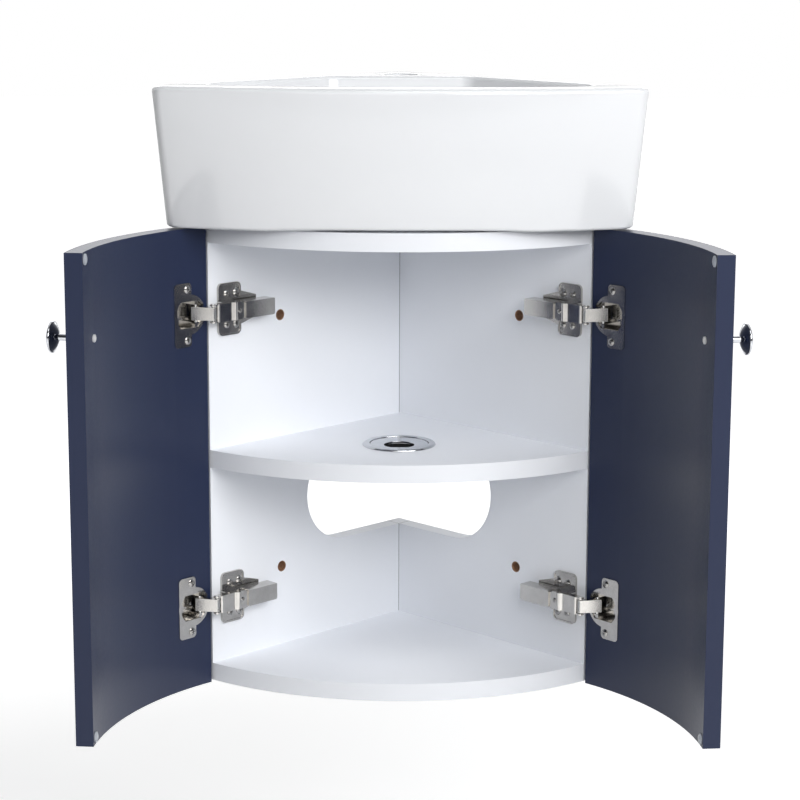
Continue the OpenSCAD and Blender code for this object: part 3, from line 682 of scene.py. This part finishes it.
def add_basin():
    """The basin in one piece: outside, bowl, waste hole, tap hole and the hollow under it."""
    piece = new_piece("basin_glazed", basin_body(), GLAZE, "root", "ceramic", "basin")
    hollow = new_tool(loft([
        basin_ring(0, CERAMIC_T, FOOT_Z - MM), basin_ring(0, CERAMIC_T, FOOT_Z),
        basin_ring(1 - CERAMIC_T / BASIN_H, CERAMIC_T, TOP_Z - CERAMIC_T)]))
    cut(hollow, loft(bowl_rings(CERAMIC_T)))
    cut(piece, mesh_of(hollow))
    rings = bowl_rings(0)
    edge = rings[-1]
    for inset, fall in quarter(LIP_ROUND)[1:]:
        rings.append(waste_ring(edge, WASTE_R + inset, BOWL_FLOOR_Z - fall))
    rings.append(waste_ring(edge, WASTE_R, BOWL_FLOOR_Z - 2 * CERAMIC_T))
    cut(piece, loft(rings))
    bore = [(0, TOP_Z + MM), (TAP_R + TAP_ROUND, TOP_Z + MM)]
    bore += [(TAP_R + inset, TOP_Z - fall) for inset, fall in quarter(TAP_ROUND)]
    bore += [(TAP_R, TOP_Z - 2 * CERAMIC_T), (0, TOP_Z - 2 * CERAMIC_T)]
    tap = lathe(bore)
    bmesh.ops.translate(tap, verts=tap.verts, vec=(0, -TAP_Y, 0))
    cut(piece, tap)
    arch_foot(piece)
    smooth_by_angle(piece)


# Studio

# The floor's own light, as the camera sees it, grows to plain white from near the object to far away
FLOOR_LIFT = 0.6
FLOOR_NEAR, FLOOR_FAR = 0.7, 1.7
FLOOR_HALF = 12
FLOOR_COLOURS = (0.80, 0.80, 0.80), (0.82, 0.82, 0.82)

# The world: its light, the dim room that metal sees, and how far that fades into the white behind
WHITE = (1, 1, 1, 1)
DOME = (0.085, 0.087, 0.09, 1)
ROOM_DIM = (0.06, 0.06, 0.065, 1)
ROOM_EDGE = 0.25


def seen_rays(n, *kinds):
    """1 for the named kinds of ray, and 0 for the others."""
    light_path = n.add("ShaderNodeLightPath")
    share = light_path.outputs[kinds[0]]
    for kind in kinds[1:]:
        share = n.math("MAXIMUM", share, light_path.outputs[kind])
    return share


def add_floor():
    """A pale matt floor that looks white, apart from the object's shadow."""
    made, shader, n = material("floor")
    n.feed_all(shader, {
        "Base Color": n.ramp(n.noise(scale=3, detail=2), shade(*FLOOR_COLOURS)),
        "Roughness": 0.9,
        "Specular IOR Level": 0.1,
    })
    lift = n.add("ShaderNodeEmission")
    seen = seen_rays(n, "Is Camera Ray", "Is Glossy Ray", "Is Transmission Ray")
    away = n.add("ShaderNodeVectorMath", operation="LENGTH")
    n.feed(away, 0, n.place())
    strength = n.span(away.outputs["Value"], FLOOR_LIFT, 1, FLOOR_NEAR, FLOOR_FAR)
    n.feed(lift, "Strength", n.math("MULTIPLY", seen, strength))
    both = n.add("ShaderNodeAddShader")
    n.feed_all(both, {0: shader.outputs[0], 1: lift.outputs[0]})
    n.feed(made.node_tree.nodes["Material Output"], "Surface", both.outputs[0])
    mesh = bpy.data.meshes.new("floor")
    square = [(-1, -1), (1, -1), (1, 1), (-1, 1)]
    mesh.from_pydata([(x * FLOOR_HALF, y * FLOOR_HALF, FLOOR_Z) for x, y in square], [], [(0, 1, 2, 3)])
    mesh.materials.append(made)
    floor = bpy.data.objects.new("floor", mesh)
    SCENE.collection.objects.link(floor)


def add_world():
    """White behind the object. Light comes from a soft dome, and metal sees a dim room in front."""
    world = bpy.data.worlds.new("studio")
    SCENE.world = world
    world.use_nodes = True
    n = Nodes(world.node_tree)
    behind = n.span(n.split(n.place("Generated"))["Y"], 0, 1, -ROOM_EDGE, ROOM_EDGE)
    mirrored = n.mix(behind, ROOM_DIM, WHITE)
    dome = n.mix(seen_rays(n, "Is Glossy Ray"), DOME, mirrored)
    seen = n.mix(seen_rays(n, "Is Camera Ray", "Is Transmission Ray"), dome, WHITE)
    n.feed(world.node_tree.nodes["Background"], "Color", seen)


def add_lamp(name, place, aim, size, power):
    """A flat lamp that looks at a point. Its power is in watts."""
    data = bpy.data.lights.new(name, "AREA")
    data.shape = "RECTANGLE"
    data.size, data.size_y = size
    data.energy = power
    lamp = bpy.data.objects.new(name, data)
    SCENE.collection.objects.link(lamp)
    place, aim = Vector(place), Vector(aim)
    turn = (aim - place).to_track_quat("-Z", "Y").to_matrix().to_4x4()
    lamp.matrix_world = Matrix.Translation(place) @ turn


def add_lamps():
    add_lamp("key", (1.8, -2.0, 1.6), aim=(0, -0.1, 0.3), size=(1.2, 1.2), power=31)
    add_lamp("near", (0.9, -2.6, 1.4), aim=(0, -0.1, 0.25), size=(1.0, 1.0), power=24)
    add_lamp("fill", (-0.3, -2.8, 1.2), aim=(0, -0.1, 0.3), size=(1.2, 1.2), power=7.5)
    add_lamp("top", (0.3, -1.6, 2.3), aim=(0, -0.2, 0.2), size=(1.0, 1.0), power=12)
    add_lamp("back", (0, 2.0, 1.4), aim=(0, 0, 0.3), size=(2.0, 1.2), power=13)
    add_lamp("left_rim", (-2.2, 0.8, 1.2), aim=(0, -0.1, 0.5), size=(1.4, 1.4), power=2.5)


add_camera()
dress_nodes()
add_basin()
add_floor()
add_world()
add_lamps()
